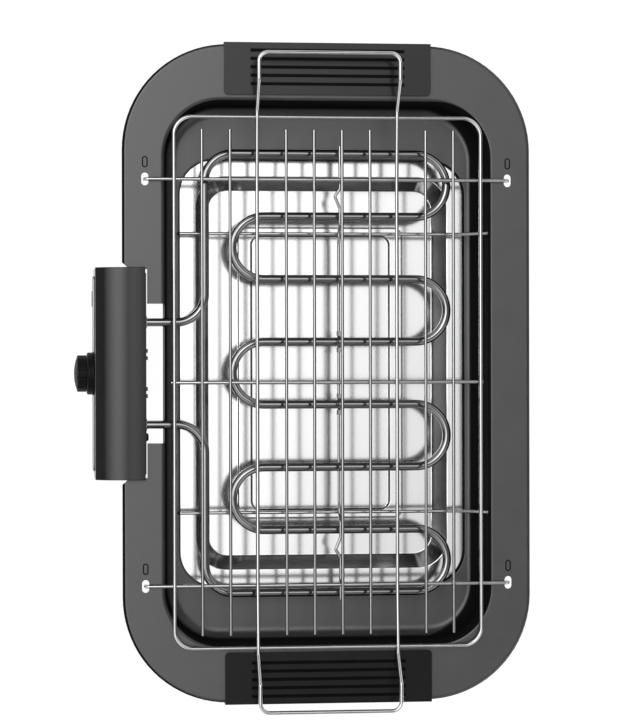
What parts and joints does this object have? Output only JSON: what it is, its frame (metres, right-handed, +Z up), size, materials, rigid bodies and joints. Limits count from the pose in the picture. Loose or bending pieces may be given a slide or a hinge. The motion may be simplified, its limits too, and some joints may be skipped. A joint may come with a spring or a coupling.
{
  "type": "electric table grill",
  "caption": "Rectangular electric table grill: wire rack with raised handles over a serpentine heating tube, steel body with grips, drip tray and a plug-in control box.",
  "frame": {"origin": "centre of the bounding box at the table, under the feet", "axes": "+Z up; +Y along the grill's length; the control box is on the -X side, so +X points away from it"},
  "size_m": [0.3536, 0.5156, 0.108],
  "materials": {
    "painted_steel": "dark grey enamel, satin on the rim and glossy in the well",
    "black_plastic": "dark moulded plastic, fine grain",
    "housing_plastic": "dark grey satin plastic",
    "rubber": "black rubber",
    "zinc_steel": "bright zinc-plated steel",
    "bright_tray": "bright pressed sheet",
    "chrome_wire": "chrome plated wire",
    "heater_sheath": "dark oxidised steel tube",
    "silver_panel": "satin silver plate",
    "knob_plastic": "black plastic",
    "lamp_lens": "dark red lens",
    "ceramic": "pale ceramic and moulding compound"
  },
  "bodies": {
    "base": {"body_shell": "painted_steel", "leg_front_left": "black_plastic", "foot_pad_front_left": "rubber", "leg_front_right": "black_plastic", "foot_pad_front_right": "rubber", "leg_rear_left": "black_plastic", "foot_pad_rear_left": "rubber", "leg_rear_right": "black_plastic", "foot_pad_rear_right": "rubber", "grip_cover_left": "black_plastic", "grip_base_left": "black_plastic", "grip_screw_left_1": "zinc_steel", "grip_screw_left_2": "zinc_steel", "grip_cover_right": "black_plastic", "grip_base_right": "black_plastic", "grip_screw_right_1": "zinc_steel", "grip_screw_right_2": "zinc_steel", "tray_rail_left": "zinc_steel", "tray_rail_right": "zinc_steel"},
    "tray": {"drip_tray": "bright_tray", "tray_pull": "black_plastic"},
    "element": {"heating_tube": "heater_sheath", "clip_wire": "heater_sheath", "terminal_pin_left": "zinc_steel", "support_rod_left": "heater_sheath", "tube_saddle_left": "heater_sheath", "leg_collar_left": "zinc_steel", "terminal_pin_right": "zinc_steel", "support_rod_right": "heater_sheath", "tube_saddle_right": "heater_sheath", "leg_collar_right": "zinc_steel", "control_housing": "housing_plastic", "control_back_cover": "housing_plastic", "cover_screw_left": "zinc_steel", "cover_screw_right": "zinc_steel", "cord_gland": "rubber", "control_panel": "silver_panel", "dial_ring": "knob_plastic", "indicator_lens": "lamp_lens", "thermostat": "ceramic", "terminal_block": "ceramic", "interlock_switch": "housing_plastic"},
    "knob": {"knob": "knob_plastic", "knob_shaft": "zinc_steel"},
    "plunger": {"interlock_plunger": "knob_plastic"},
    "rack": {"rack_crossbar_left": "chrome_wire", "rack_crossbar_middle": "chrome_wire", "rack_crossbar_right": "chrome_wire", "rack_frame": "chrome_wire", "rack_handle": "chrome_wire", "rack_wire_1": "chrome_wire", "rack_wire_2": "chrome_wire", "rack_wire_3": "chrome_wire", "rack_wire_4": "chrome_wire", "rack_wire_5": "chrome_wire", "rack_wire_6": "chrome_wire", "rack_wire_7": "chrome_wire", "rack_wire_8": "chrome_wire"}
  },
  "joints": [
    {"name": "element_lift", "type": "slide", "parent": "base", "child": "element", "axis": [0, 0, 1], "range_m": [0, 0.12]},
    {"name": "rack_lift", "type": "slide", "parent": "element", "child": "rack", "axis": [0, 0, 1], "range_m": [0, 0.12]},
    {"name": "tray_slide", "type": "slide", "parent": "base", "child": "tray", "axis": [1, 0, 0], "range_m": [0, 0.2]},
    {"name": "knob_turn", "type": "hinge", "parent": "element", "child": "knob", "pos_m": [-0.17175, 0.00225, 0.0475], "axis": [1, 0, 0], "range_deg": [0, 270]},
    {"name": "plunger_press", "type": "slide", "parent": "element", "child": "plunger", "axis": [-1, 0, 0], "range_m": [0, 0.002], "stiffness_N_per_m": 200, "springref_m": -0.001}
  ]
}
